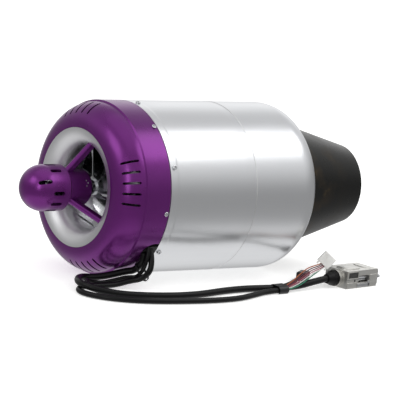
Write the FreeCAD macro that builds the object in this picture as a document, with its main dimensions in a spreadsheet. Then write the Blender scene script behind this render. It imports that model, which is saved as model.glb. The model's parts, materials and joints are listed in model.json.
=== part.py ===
"""Small turbojet engine with electric starter, intake cowl, control wiring and connectors.

The engine lies along X: the nose points to -X and the exhaust to +X, with +Z up. The origin is
on the engine's axis, at the middle of the land on the casing where the mounting band is clamped.
Stations run along the axis from the tip of the nose, so every station is positive.
All lengths are in millimetres and all angles in degrees.
"""
import FreeCAD, Part
import Sketcher
import math
import os

from FreeCAD import Placement, Rotation, Vector

SIZES = {
    # casing and cowl
    "land_radius": 75.0,
    "land_step": 0.2,
    "band_station": 147.0,
    "band_length": 76.0,
    "land_taper": 2.0,
    "joint_station": 100.0,
    "joint_gap": 0.3,
    "seam_station": 194.0,
    "joint_ring_reach": 8.0,
    "shoulder_station": 249.0,
    "shoulder_radius": 25.0,
    "case_end_station": 272.0,
    "case_wall": 1.2,
    "cowl_wall": 2.0,
    "cowl_front_radius": 23.0,
    "lip_station": 53.5,
    "lip_radius": 51.5,
    "crease_station": 74.5,
    "crease_drop": 1.4,
    "crease_rise": 0.8,
    "edge_chamfer": 0.6,
    "slot_width": 2.0,
    "slot_front_station": 57.3,
    "slot_rear_station": 70.3,
    "slot_pitch": 7.5,
    "slot_clock": 75.5,
    "notch_clock": 126.0,
    "notch_width": 20.0,
    "notch_depth": 14.0,
    # intake
    "throat_radius": 35.5,
    "throat_station": 71.0,
    "throat_length": 4.0,
    "bell_wall": 2.0,
    "shroud_rear_station": 93.6,
    "shroud_turn_radius": 51.0,
    "shroud_flange_radius": 69.5,
    # nose, hub and struts
    "nose_radius": 20.0,
    "nose_wall": 1.6,
    "nose_seam_station": 32.0,
    "nose_slot_width": 3.4,
    "nose_slot_length": 11.0,
    "nose_slot_station": 24.4,
    "nose_slot_front_station": 12.0,
    "nose_slot_clock": 62.9,
    "collar_length": 4.0,
    "hub_radius": 15.5,
    "hub_end_station": 63.0,
    "hub_edge_radius": 4.0,
    "hub_wall": 1.8,
    "strut_chord": 9.5,
    "strut_thickness": 5.0,
    "strut_root_station": 43.0,
    "strut_root_radius": 14.6,
    "strut_rake": 40.6,
    "strut_length": 33.0,
    "strut_clock": 6.6,
    # starter
    "motor_radius": 12.0,
    "motor_front_station": 14.0,
    "motor_length": 34.0,
    "motor_boss_radius": 4.0,
    "starter_shaft_radius": 1.5,
    "starter_shaft_end_station": 64.0,
    "clutch_radius": 9.0,
    "clutch_station": 57.0,
    "clutch_length": 8.0,
    "clutch_wall": 1.2,
    "clutch_ring_radius": 1.5,
    "fit_gap": 0.2,
    "running_gap": 0.05,
    # rotor
    "shaft_radius": 4.0,
    "shaft_mid_radius": 7.0,
    "shaft_front_station": 68.5,
    "shaft_rear_station": 276.0,
    "wheel_front_station": 72.0,
    "wheel_rear_station": 99.0,
    "wheel_radius": 49.0,
    "wheel_hub_radius": 9.0,
    "wheel_backplate": 2.0,
    "wheel_blades": 6.0,
    "inducer_clearance": 0.9,
    "turbine_front_station": 256.5,
    "turbine_rear_station": 270.0,
    "turbine_hub_radius": 23.0,
    "turbine_tip_radius": 37.5,
    "turbine_blades": 23.0,
    "tip_clearance": 0.5,
    "nut_radius": 7.0,
    # diffuser, bearings and shaft tunnel
    "diffuser_front_station": 99.6,
    "diffuser_wall": 3.0,
    "diffuser_ring_front": 92.0,
    "diffuser_ring_rear": 112.0,
    "diffuser_vanes": 15.0,
    "vane_thickness": 1.4,
    "vane_margin": 2.5,
    "vane_angle": 38.0,
    "tunnel_radius": 15.0,
    "tunnel_wall": 1.5,
    "tunnel_rear_station": 246.0,
    "bearing_bore": 4.0,
    "bearing_outer": 11.0,
    "bearing_width": 7.0,
    "front_bearing_station": 112.0,
    "rear_bearing_station": 226.0,
    "ball_radius": 1.9,
    "race_wall": 1.7,
    # combustor
    "liner_radius": 66.0,
    "liner_wall": 0.6,
    "liner_front_station": 122.0,
    "liner_rear_station": 240.0,
    "liner_hole_radius": 2.2,
    "inner_liner_radius": 24.0,
    "vapour_tube_radius": 3.2,
    "vapour_tube_length": 70.0,
    "vapour_tube_circle": 46.0,
    "vapour_tubes": 12.0,
    "fuel_ring_radius": 54.0,
    "fuel_ring_bore": 1.5,
    # turbine stator and exhaust
    "stator_front_station": 242.0,
    "stator_rear_station": 255.5,
    "stator_vanes": 17.0,
    "shroud_wall": 2.0,
    "nozzle_root_radius": 57.5,
    "nozzle_rim_station": 350.0,
    "nozzle_rim_radius": 36.3,
    "nozzle_wall": 0.9,
    "nozzle_flange_radius": 62.0,
    "nozzle_flange_station": 265.0,
    "tail_cone_radius": 22.0,
    "tail_cone_end_radius": 5.0,
    "tail_cone_station": 279.0,
    "tail_cone_length": 46.0,
    "tail_cone_wall": 0.8,
    # fasteners
    "screw_head_radius": 2.1,
    "screw_head_height": 1.5,
    "screw_shank_radius": 1.25,
    "screw_shank_length": 4.5,
    "screw_socket_radius": 1.1,
    "screw_socket_depth": 0.9,
    "screw_count": 6.0,
    "cowl_screw_inset": 3.5,
    "case_screw_inset": 4.5,
    "screw_clock": 6.0,
    # pieces inside the cowl
    "board_inner_radius": 65.5,
    "board_outer_radius": 71.5,
    "board_station": 82.0,
    "board_thickness": 1.6,
    "pump_radius": 7.0,
    "pump_circle": 57.5,
    "pump_length": 22.0,
    "pump_rear_station": 88.0,
    "valve_radius": 4.5,
    "valve_length": 16.0,
    "standoff_radius": 1.5,
    "standoff_count": 6.0,
    "foot_radius": 3.0,
    "spout_radius": 1.4,
    "spout_length": 4.0,
    "sensor_radius": 1.5,
    "sensor_length": 9.0,
    "sensor_circle": 60.0,
    "igniter_radius": 2.4,
    "igniter_circle": 58.5,
    "igniter_reach": 12.0,
    # wiring
    "grommet_gap": 0.15,
    "grommet_height": 75.6,
    "grommet_edge": 7.2,
    "lead_radius": 3.0,
    "plug_lead_radius": 2.5,
    "probe_lead_radius": 1.75,
    "wire_loom_radius": 1.5,
    "tie_wall": 0.6,
    "tie_width": 2.2,
    "sleeve_wall": 0.6,
    "sleeve_length": 11.0,
    # connector on the thick lead
    "hood_length": 43.0,
    "hood_width": 25.0,
    "hood_height": 16.0,
    "hood_wall": 2.0,
    "jackscrew_radius": 1.5,
    "jackscrew_inset": 3.4,
    "jackscrew_head_radius": 2.6,
    "jackscrew_head_length": 11.0,
    "jackscrew_overhang": 6.5,
    "hood_split": 0.1,
    "window_station": 16.0,
    "window_length": 14.0,
    "window_end_gap": 1.0,
    "flange_width": 24.4,
    "flange_height": 12.4,
    "flange_plate": 1.0,
    "shell_width": 15.6,
    "shell_height": 8.6,
    "shell_reach": 6.0,
    "pin_count": 5.0,
    "pin_pitch": 2.0,
    "pin_row_gap": 2.4,
    "pin_radius": 0.45,
    "pin_depth": 4.0,
    "bushing_stem_radius": 4.8,
    "bushing_radius": 6.4,
    "bushing_barrel": 8.0,
    "bushing_length": 14.0,
    "clamp_wall": 1.2,
    "clamp_width": 3.0,
    "white_plug_length": 11.0,
    "white_plug_width": 12.5,
    "white_plug_thickness": 7.0,
    "black_plug_length": 14.0,
    "black_plug_width": 9.0,
    "black_plug_thickness": 8.2,
}

doc = FreeCAD.newDocument("turbojet")
sheet = doc.addObject("Spreadsheet::Sheet", "Sizes")


class Dim:
    """A size with its number and the sheet expression that gives it."""

    def __init__(self, value, text):
        self.value = float(value)
        self.text = text

    @staticmethod
    def of(other):
        if isinstance(other, Dim):
            return other
        return Dim(other, "%.6g" % other)

    def mixed(self, other, sign, value):
        return Dim(value, "(%s %s %s)" % (self.text, sign, Dim.of(other).text))

    def __add__(self, other):
        return self.mixed(other, "+", self.value + Dim.of(other).value)

    def __sub__(self, other):
        return self.mixed(other, "-", self.value - Dim.of(other).value)

    def __mul__(self, other):
        return self.mixed(other, "*", self.value * Dim.of(other).value)

    def __truediv__(self, other):
        return self.mixed(other, "/", self.value / Dim.of(other).value)

    def __neg__(self):
        return Dim(-self.value, "(0 - %s)" % self.text)

    def __radd__(self, other):
        return Dim.of(other) + self

    def __rsub__(self, other):
        return Dim.of(other) - self

    def __rmul__(self, other):
        return Dim.of(other) * self

    def __rtruediv__(self, other):
        return Dim.of(other) / self


def root(dim):
    """Square root of a size."""
    return Dim(math.sqrt(dim.value), "sqrt(%s)" % dim.text)


class Sizes:
    """The sheet's sizes by name."""


size = Sizes()
for row, (alias, number) in enumerate(SIZES.items(), start=1):
    sheet.set("A%d" % row, alias)
    sheet.set("B%d" % row, "%.6g" % number)
    sheet.setAlias("B%d" % row, alias)
    setattr(size, alias, Dim(number, "Sizes." + alias))
size.body_radius = size.land_radius + size.land_step
size.rear_radius = size.land_radius - size.land_step
size.case_bore = size.land_radius - size.case_wall
doc.recompute()

NODES = {}
AXIS = Vector(1, 0, 0)


def node(label, item):
    """Name a finished sub-part and keep it for export."""
    item.Label = label
    NODES[label] = item
    return item


def bind(item, **values):
    """Tie an object's properties to the sheet; Base_x stands for Placement.Base.x."""
    for key, dim in values.items():
        path = "Placement.Base." + key[-1] if key.startswith("Base_") else key
        item.setExpression(path, Dim.of(dim).text)
    return item


def to_band(item):
    """Move a piece drawn in stations so that the band's station is at X = 0."""
    return bind(item, Base_x=-size.band_station)


def origin_item(body, role):
    return next(item for item in body.Origin.OriginFeatures if item.Role == role)


def new_body(label):
    return to_band(doc.addObject("PartDesign::Body", label))


def new_sketch(body, name, role):
    sketch = body.newObject("Sketcher::SketchObject", name)
    sketch.AttachmentSupport = (origin_item(body, role), [""])
    sketch.MapMode = "FlatFace"
    return sketch


def pin_point(sketch, edge, end, across, up):
    """Hold one end of an edge at sheet-driven coordinates."""
    for kind, axis, dim in (("DistanceX", -2, across), ("DistanceY", -1, up)):
        if abs(dim.value) < 1e-9:
            sketch.addConstraint(Sketcher.Constraint("PointOnObject", edge, end, axis))
            continue
        row = sketch.addConstraint(Sketcher.Constraint(kind, -1, 1, edge, end, dim.value))
        sketch.setExpression("Constraints[%d]" % row, dim.text)


def arc_between(first, last, radius, side):
    """Circle arc from first to last, its centre on the left (+1) or right (-1) of the way."""
    middle = (first + last) * 0.5
    chord = last - first
    height = math.sqrt(max(radius ** 2 - (chord.Length * 0.5) ** 2, 0))
    across = Vector(-chord.y, chord.x, 0).normalize() * height * side
    centre = middle + across
    begin, finish = (first, last) if side > 0 else (last, first)
    angles = [math.atan2(point.y - centre.y, point.x - centre.x) for point in (begin, finish)]
    if angles[1] < angles[0]:
        angles[1] += 2 * math.pi
    return Part.ArcOfCircle(Part.Circle(centre, Vector(0, 0, 1), radius), angles[0], angles[1])


def draw(sketch, outline):
    """Closed outline of (across, up) points; (across, up, radius, side) is reached by an arc."""
    corners = [tuple(Dim.of(value) for value in point[:2]) for point in outline]
    places = [Vector(across.value, up.value, 0) for across, up in corners]
    ends = []
    for index, point in enumerate(outline):
        start = places[index - 1]
        if len(point) == 2:
            edge = sketch.addGeometry(Part.LineSegment(start, places[index]))
            ends.append((edge, 1, 2))
            continue
        bend = Dim.of(point[2])
        edge = sketch.addGeometry(arc_between(start, places[index], bend.value, point[3]))
        ends.append((edge, 1, 2) if point[3] > 0 else (edge, 2, 1))
        if abs(start.distanceToPoint(places[index]) - 2 * bend.value) < 1e-6:
            sketch.addConstraint(Sketcher.Constraint("Vertical", edge, 1, edge, 3))
            continue
        row = sketch.addConstraint(Sketcher.Constraint("Radius", edge, bend.value))
        sketch.setExpression("Constraints[%d]" % row, bend.text)
    for index, (edge, begin, finish) in enumerate(ends):
        following, start, _ = ends[(index + 1) % len(ends)]
        sketch.addConstraint(Sketcher.Constraint("Coincident", edge, finish, following, start))
        pin_point(sketch, edge, finish, *corners[index])


def turned(label, *outlines):
    """Body turned about the engine's axis from one or more (station, radius) outlines."""
    body = new_body(label)
    for number, outline in enumerate(outlines):
        sketch = new_sketch(body, "%s_outline%d" % (label, number), "XZ_Plane")
        draw(sketch, outline)
        turn = body.newObject("PartDesign::Revolution", "%s_turn%d" % (label, number))
        turn.Profile = sketch
        turn.ReferenceAxis = (sketch, ["H_Axis"])
        turn.Angle = 360
        body.Tip = turn
    return body


def ring(label, front, rear, inner, outer):
    """Plain turned ring between two stations and two radii."""
    return turned(label, [(front, inner), (front, outer), (rear, outer), (rear, inner)])


def slot_sketch(body, name, front, rear, width):
    """Slot with round ends, in the XY plane, along the engine's axis."""
    sketch = new_sketch(body, name, "XY_Plane")
    half = width / 2
    draw(sketch, [(front + half, -half, half, 1), (rear - half, -half),
                  (rear - half, half, half, 1), (front + half, half)])
    return sketch


def pattern(body, feature, name, count):
    spread = body.newObject("PartDesign::PolarPattern", name)
    spread.Originals = [feature]
    spread.Axis = (origin_item(body, "X_Axis"), [""])
    spread.Angle = 360
    spread.Occurrences = int(round(Dim.of(count).value))
    if isinstance(count, Dim):
        spread.setExpression("Occurrences", count.text)
    body.Tip = spread
    return spread


def radial_cut(body, name, draw_sketch, count, clock, deepest):
    """Cut one outline outwards through the wall, turned to a clock angle, and repeat it round."""
    before = body.Shape.Volume
    sketch = draw_sketch(name + "_outline")
    turn_sketch(sketch, clock)
    cut = body.newObject("PartDesign::Pocket", name)
    cut.Profile = sketch
    cut.Reversed = True
    cut.Type = 0
    bind(cut, Length=deepest)
    body.Tip = cut
    doc.recompute()
    if body.Shape.Volume > before - 1e-3:
        raise RuntimeError(name + " cuts nothing")
    if Dim.of(count).value > 1:
        pattern(body, cut, name + "_pattern", count)
        doc.recompute()


def turn_sketch(sketch, clock):
    """Turn a sketch that faces +Z about the engine's axis, clockwise from +Z towards -Y."""
    sketch.AttachmentOffset = Placement(Vector(), Rotation(AXIS, Dim.of(clock).value))
    sketch.setExpression("AttachmentOffset.Rotation.Angle", Dim.of(clock).text)


def circle_sketch(body, name, station, radius):
    sketch = new_sketch(body, name, "XY_Plane")
    edge = sketch.addGeometry(Part.Circle(Vector(station.value, 0, 0), Vector(0, 0, 1), Dim.of(radius).value))
    row = sketch.addConstraint(Sketcher.Constraint("Radius", edge, Dim.of(radius).value))
    sketch.setExpression("Constraints[%d]" % row, Dim.of(radius).text)
    pin_point(sketch, edge, 3, station, Dim(0, "0"))
    return sketch


def radial_holes(body, name, station, radius, count, clock, deepest):
    radial_cut(body, name, lambda text: circle_sketch(body, text, station, radius), count, clock,
               deepest)


def screw_clocks():
    """Clock angles of the first cowl screw and of the first case screw, half a pitch apart."""
    return size.screw_clock + 180 / size.screw_count, size.screw_clock


def at_clock(shape, clock):
    """Copy of a shape turned about the engine's axis, clockwise from +Z towards -Y."""
    copy = shape.copy()
    copy.rotate(Vector(0, 0, 0), AXIS, clock)
    return copy


def shaped(label, shape):
    """Sub-part whose shape is worked out from the sheet's sizes, drawn in stations."""
    item = doc.addObject("Part::Feature", label)
    item.Shape = shape
    item.Placement = Placement(Vector(-size.band_station.value, 0, 0), Rotation()).multiply(shape.Placement)
    return item


def polar_group(shape, count, clock=0.0):
    """Separate copies of one solid, evenly spaced about the engine's axis."""
    pitch = 360.0 / count
    return Part.makeCompound([at_clock(shape, clock + pitch * step) for step in range(int(count))])


# ---------------------------------------------------------------- cowl and casing

def make_cowl():
    """Anodised front cowl: bell front, skirt, cooling slots, cable notch and screw holes."""
    front, crease, rear = size.lip_station, size.crease_station, size.joint_station
    outer = size.body_radius
    cowl = turned("intake_cowl", [
        (front, size.lip_radius),
        (crease, outer - size.crease_drop, size.cowl_front_radius, -1),
        (crease + size.crease_rise, outer),
        (rear - size.edge_chamfer, outer),
        (rear, outer - size.edge_chamfer),
        (rear, outer - size.cowl_wall),
        (crease + size.cowl_wall, outer - size.cowl_wall),
        (crease, outer - size.crease_drop - size.cowl_wall),
        (front + size.cowl_wall, size.lip_radius, size.cowl_front_radius - size.cowl_wall, 1),
    ])
    doc.recompute()
    for step in range(-2, 3):
        radial_cut(cowl, "cooling_slots_%d" % (step + 3),
                   lambda text: slot_sketch(cowl, text, size.slot_front_station,
                                            size.slot_rear_station, size.slot_width),
                   4, size.slot_clock + size.slot_pitch * step, outer + 5)
    radial_cut(cowl, "cable_notch",
               lambda text: slot_sketch(cowl, text, rear - size.notch_depth,
                                        rear + size.notch_width, size.notch_width),
               1, size.notch_clock, outer + 5)
    radial_holes(cowl, "cowl_screw_holes", rear - size.cowl_screw_inset,
                 size.screw_shank_radius + size.fit_gap, size.screw_count, screw_clocks()[0],
                 outer + 5)
    node("intake_cowl", cowl)


def make_casing():
    """Rolled outer case in two lengths, the rear one closed in to the exhaust."""
    outer, bore = size.body_radius, size.case_bore
    land_front = size.band_station - size.band_length / 2
    land_rear = size.band_station + size.band_length / 2
    case = turned("front_case", [
        (size.joint_station + size.joint_gap, bore),
        (size.joint_station + size.joint_gap, outer),
        (land_front - size.land_taper, outer),
        (land_front, size.land_radius),
        (land_rear, size.land_radius),
        (size.seam_station, size.rear_radius),
        (size.seam_station, bore),
    ])
    doc.recompute()
    radial_holes(case, "case_screw_holes", size.joint_station + size.case_screw_inset,
                 size.screw_shank_radius + size.fit_gap, size.screw_count, screw_clocks()[1],
                 outer + 5)
    node("front_case", case)
    bend, outer = size.shoulder_radius, size.rear_radius
    wall = outer - bore
    reach = size.case_end_station - size.shoulder_station
    opening = outer - bend + root(bend * bend - reach * reach)
    inner_bend = bend - wall
    inner_opening = outer - bend + root(inner_bend * inner_bend
                                        - (reach - wall) * (reach - wall))
    node("rear_case", turned("rear_case", [
        (size.seam_station + size.joint_gap, bore),
        (size.seam_station + size.joint_gap, outer),
        (size.shoulder_station, outer),
        (size.case_end_station, opening, bend, -1),
        (size.case_end_station, opening - wall),
        (size.case_end_station - wall, inner_opening - wall),
        (size.case_end_station - wall, inner_opening),
        (size.shoulder_station, bore, inner_bend, 1),
    ]))
    node("case_joint_ring", ring("case_joint_ring", size.seam_station - size.joint_ring_reach,
                                 size.seam_station + size.joint_ring_reach,
                                 bore - size.case_wall, bore))


# ---------------------------------------------------------------- intake, nose and starter

def make_bell_mouth():
    """Spun intake bell that turns into the compressor's shroud and its bolting flange."""
    bend = size.lip_radius - size.fit_gap - size.throat_radius + size.bell_wall
    lip = size.lip_radius - size.fit_gap
    throat_end = size.throat_station + size.throat_length
    turn_bend = size.shroud_rear_station - throat_end
    wall = size.bell_wall
    bell = turned("bell_mouth", [
        (size.lip_station, lip),
        (size.throat_station, size.throat_radius, bend, 1),
        (throat_end, size.throat_radius),
        (size.shroud_rear_station, size.shroud_turn_radius, turn_bend, 1),
        (size.shroud_rear_station, size.shroud_flange_radius),
        (size.shroud_rear_station - wall, size.shroud_flange_radius),
        (size.shroud_rear_station - wall, size.shroud_turn_radius),
        (throat_end, size.throat_radius + wall, turn_bend - wall, -1),
        (size.throat_station, size.throat_radius + wall),
        (size.lip_station + wall, lip, bend - wall, -1),
    ])
    return bell


def make_hub():
    """Starter housing with its collar and three raked struts, machined as one spider."""
    seam, hub = size.nose_seam_station, size.hub_radius
    collar_end = seam + size.collar_length
    inner = hub - size.hub_wall
    spider = turned("strut_spider", [
        (seam, inner),
        (seam, size.nose_radius),
        (collar_end, size.nose_radius),
        (collar_end + size.collar_length, hub),
        (size.hub_end_station - size.hub_edge_radius, hub),
        (size.hub_end_station, hub - size.hub_edge_radius, size.hub_edge_radius, -1),
        (size.hub_end_station, size.clutch_radius + 1.2),
        (size.hub_end_station - size.hub_wall, size.clutch_radius + 1.2),
        (size.hub_end_station - size.hub_wall, inner - size.hub_edge_radius + size.hub_wall),
        (size.hub_end_station - size.hub_edge_radius, inner),
    ])
    sketch = new_sketch(spider, "strut_section", "XY_Plane")
    half = size.strut_thickness / 2
    front = size.strut_root_station - size.strut_chord / 2
    rear = front + size.strut_chord
    draw(sketch, [(front + half, -half, half, 1), (rear - half, -half),
                  (rear - half, half, half, 1), (front + half, half)])
    rake = math.radians(size.strut_rake.value)
    turn = Rotation(AXIS, size.strut_clock.value)
    sketch.AttachmentOffset = Placement(turn.multVec(Vector(0, 0, size.strut_root_radius.value)), turn)
    sketch.setExpression("AttachmentOffset.Rotation.Angle", size.strut_clock.text)
    sketch.setExpression("AttachmentOffset.Base.y", "0 - %s * sin(%s)" % (
        size.strut_root_radius.text, size.strut_clock.text))
    sketch.setExpression("AttachmentOffset.Base.z", "%s * cos(%s)" % (
        size.strut_root_radius.text, size.strut_clock.text))
    strut = spider.newObject("PartDesign::Pad", "strut")
    strut.Profile = sketch
    strut.UseCustomVector = True
    strut.Direction = turn.multVec(Vector(math.sin(rake), 0, math.cos(rake)))
    strut.setExpression("Direction.x", "sin(%s)" % size.strut_rake.text)
    strut.setExpression("Direction.y", "0 - cos(%s) * sin(%s)" % (size.strut_rake.text, size.strut_clock.text))
    strut.setExpression("Direction.z", "cos(%s) * cos(%s)" % (size.strut_rake.text, size.strut_clock.text))
    strut.AlongSketchNormal = False
    bind(strut, Length=size.strut_length)
    spider.Tip = strut
    doc.recompute()
    pattern(spider, strut, "struts", 3)
    return spider


def make_intake():
    """The struts' feet stand in sockets cut through the bell's wall."""
    bell, spider = make_bell_mouth(), make_hub()
    doc.recompute()
    socketed = doc.addObject("Part::Cut", "bell_mouth_socketed")
    socketed.Base = bell
    socketed.Tool = spider
    node("strut_spider", spider)
    node("intake_bell_mouth", socketed)


def make_nose():
    """Slotted cooling dome that covers the starter motor."""
    radius, wall = size.nose_radius, size.nose_wall
    seam = size.nose_seam_station
    dome = turned("nose_dome", [
        (Dim(0, "0"), Dim(0, "0")),
        (radius, radius, radius, -1),
        (seam, radius),
        (seam, radius - wall),
        (radius, radius - wall),
        (wall, Dim(0, "0"), radius - wall, 1),
    ])
    doc.recompute()
    half = size.nose_slot_length / 2
    for step in range(4):
        centre = size.nose_slot_station if step else size.nose_slot_front_station
        radial_cut(dome, "dome_slots_%d" % step,
                   lambda text: slot_sketch(dome, text, centre - half, centre + half,
                                            size.nose_slot_width),
                   3, size.nose_slot_clock + 30 * step, radius + 5)
    node("nose_dome", dome)


def make_starter():
    """Brushed starter motor, its shaft and the sliding clutch cup with its friction ring."""
    front, radius = size.motor_front_station, size.motor_radius
    rear = front + size.motor_length
    bore = size.starter_shaft_radius + size.running_gap
    node("starter_motor", turned("starter_motor", [
        (front, bore), (front, size.motor_boss_radius), (front + 2, size.motor_boss_radius),
        (front + 2, radius - 1), (front + 3, radius), (rear - 2, radius),
        (rear - 2, size.motor_boss_radius), (rear, size.motor_boss_radius), (rear, bore),
    ]))
    node("motor_mount_plate", ring("motor_mount_plate", rear - 2, rear - 0.5,
                                   size.motor_boss_radius, size.hub_radius - size.hub_wall))
    end = size.starter_shaft_end_station
    node("starter_shaft", ring("starter_shaft", front - 2, end, Dim(0, "0"), size.starter_shaft_radius))
    station, wall = size.clutch_station, size.clutch_wall
    back = station + size.clutch_length
    slide = size.starter_shaft_radius + size.running_gap
    node("clutch_cup", turned("clutch_cup", [
        (station, slide), (station, size.clutch_radius),
        (back, size.clutch_radius), (back, size.clutch_radius - wall),
        (station + wall, size.clutch_radius - wall), (station + wall, slide + wall),
        (back - 2, slide + wall), (back - 2, slide),
    ]))
    bead = size.clutch_ring_radius
    friction = doc.addObject("Part::Torus", "clutch_friction_ring")
    bind(friction, Radius1=size.clutch_radius - wall - bead, Radius2=bead,
         Base_x=back - bead * 2 - size.band_station)
    friction.Placement.Rotation = Rotation(Vector(0, 1, 0), 90)
    friction.setExpression("Placement.Base.x", (back - bead * 2 - size.band_station).text)
    node("clutch_friction_ring", friction)


# ---------------------------------------------------------------- blades

def bent_section(radius, station, length, thickness, stagger, camber):
    """Thin curved section in the plane that touches the cylinder of a radius, +Z up."""
    half = length / 2
    turn = Rotation(Vector(0, 0, 1), stagger)

    def place(along, across):
        flat = turn.multVec(Vector(along, across, 0))
        return Vector(station + flat.x, flat.y, radius)
    lower = [place(-half, -thickness / 2), place(0, camber - thickness / 2), place(half, -thickness / 2)]
    upper = [place(half, thickness / 2), place(0, camber + thickness / 2), place(-half, thickness / 2)]
    return Part.Wire([Part.Arc(*lower).toShape(), Part.LineSegment(lower[2], upper[0]).toShape(),
                      Part.Arc(*upper).toShape(), Part.LineSegment(upper[2], lower[0]).toShape()])


def blade_row(count, root_radius, tip_radius, front, rear, thickness, stagger, camber, twist):
    """Ring of curved blades or vanes between two radii."""
    middle, length = (front + rear) / 2, rear - front
    lengths = [length / math.cos(math.radians(abs(angle))) - thickness
               for angle in (stagger, stagger + twist)]
    sections = [bent_section(root_radius, middle, lengths[0], thickness, stagger, camber),
                bent_section(tip_radius, middle, lengths[1], thickness * 0.7, stagger + twist, camber)]
    blade = Part.makeLoft(sections, True, True)
    return [at_clock(blade, step * 360.0 / count) for step in range(int(count))]


def revolved(points):
    """Solid turned about the X axis from (station, radius) corners."""
    corners = [Vector(x, 0, r) for x, r in points]
    face = Part.Face(Part.makePolygon(corners + corners[:1]))
    return face.revolve(Vector(0, 0, 0), AXIS, 360)


def impeller_blade(hub_line, shroud_line, sweep, thickness):
    """One compressor blade: quadrilateral sections along the flow, each turned by its sweep."""
    wires = []
    for (hub_x, hub_r), (tip_x, tip_r), angle in zip(hub_line, shroud_line, sweep):
        low, high = Vector(hub_x, 0, hub_r), Vector(tip_x, 0, tip_r)
        side = Vector(0, thickness / 2, 0)
        corners = [low - side, high - side * 0.6, high + side * 0.6, low + side]
        turned_corners = [Rotation(AXIS, angle).multVec(corner) for corner in corners]
        wires.append(Part.makePolygon(turned_corners + turned_corners[:1]))
    return Part.makeLoft(wires, True, False)


def make_compressor_wheel():
    """Centrifugal wheel: full and splitter blades on a hub that sweeps out to its rim."""
    front, rear = size.wheel_front_station.value, size.wheel_rear_station.value
    hub, rim = size.wheel_hub_radius.value, size.wheel_radius.value
    plate = rear - size.wheel_backplate.value
    gap = size.inducer_clearance.value
    bore = size.shaft_radius.value + size.running_gap.value / 2
    steps = 8
    reach_x, reach_r = plate - front, rim - hub
    quarter = [math.pi / 2 * step / steps for step in range(steps + 1)]
    hub_curve = [(front + reach_x * math.sin(angle), rim - reach_r * math.cos(angle)) for angle in quarter]
    throat_end = size.throat_station.value + size.throat_length.value
    bend = size.shroud_rear_station.value - throat_end
    tip_start = size.throat_radius.value - gap
    swing = bend + gap
    shroud_curve = [(front + 1.0, tip_start)] + [
        (throat_end + swing * math.sin(angle), tip_start + swing - swing * math.cos(angle))
        for angle in (math.pi / 2 * step / (steps - 1) for step in range(steps))]
    shroud_curve = [(x, min(r, rim)) for x, r in shroud_curve]
    sunk = [(x + 0.35, r - 0.5) for x, r in hub_curve]
    sunk[-1] = (plate + 0.4, rim - 0.6)
    shroud_curve[-1] = (size.shroud_rear_station.value + gap, rim - 0.6)
    sweep = [48 * (1 - step / steps) ** 1.6 - 18 * (step / steps) for step in range(steps + 1)]
    full = impeller_blade(sunk, shroud_curve, sweep, 0.9)
    cut = 3
    splitter = impeller_blade(sunk[cut:], shroud_curve[cut:], sweep[cut:], 0.9)
    body = revolved([(front, bore)] + hub_curve + [(rear, rim), (rear, bore)])
    count = int(size.wheel_blades.value)
    pitch = 360.0 / count
    blades = []
    for step in range(count):
        blades += [at_clock(full, pitch * step), at_clock(splitter, pitch * (step + 0.5))]
    node("compressor_wheel", shaped("compressor_wheel", body.fuse(blades)))


def make_turbine():
    """Turbine stator ring, wheel and shroud."""
    front, rear = size.turbine_front_station.value, size.turbine_rear_station.value
    hub, tip = size.turbine_hub_radius.value, size.turbine_tip_radius.value
    bore = size.shaft_radius.value + size.running_gap.value / 2
    disc = revolved([(front, bore), (front, hub), (rear - 2, hub), (rear - 2, hub - 4),
                     (rear, hub - 9), (rear, bore)])
    blades = blade_row(size.turbine_blades.value, hub - 0.6, tip, front + 0.4, rear - 2.4, 1.2, -38, 1.0, -14)
    envelope = Part.makeCylinder(tip, rear - front, Vector(front, 0, 0), AXIS)
    node("turbine_wheel", shaped("turbine_wheel", disc.fuse(blades).common(envelope)))
    bore_wall = size.tunnel_radius.value
    shroud = tip + size.tip_clearance.value
    start, end = size.stator_front_station.value, size.stator_rear_station.value
    inner = revolved([(start, bore_wall + 0.1), (start, hub), (end, hub), (end, bore_wall + 0.1)])
    wall = size.shroud_wall.value
    outer = revolved([(start, shroud), (start, shroud + wall), (end, shroud + wall), (end, shroud)])
    vanes = blade_row(size.stator_vanes.value, hub - 0.6, shroud + 0.8, start + 0.4, end - 0.4, 1.4, 34, -1.4, 0)
    node("turbine_stator", shaped("turbine_stator", inner.fuse([outer] + vanes)))
    flange = size.nozzle_flange_station
    tip_wall = size.turbine_tip_radius + size.tip_clearance
    node("turbine_shroud", turned("turbine_shroud", [
        (size.stator_rear_station, tip_wall),
        (size.stator_rear_station, tip_wall + size.shroud_wall),
        (flange - 1.5, tip_wall + size.shroud_wall),
        (flange - 1.5, size.nozzle_flange_radius),
        (flange, size.nozzle_flange_radius),
        (flange, tip_wall + size.shroud_wall),
        (size.turbine_rear_station, tip_wall + size.shroud_wall),
        (size.turbine_rear_station, tip_wall),
    ]))


# ---------------------------------------------------------------- rotor, bearings, diffuser

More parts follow.
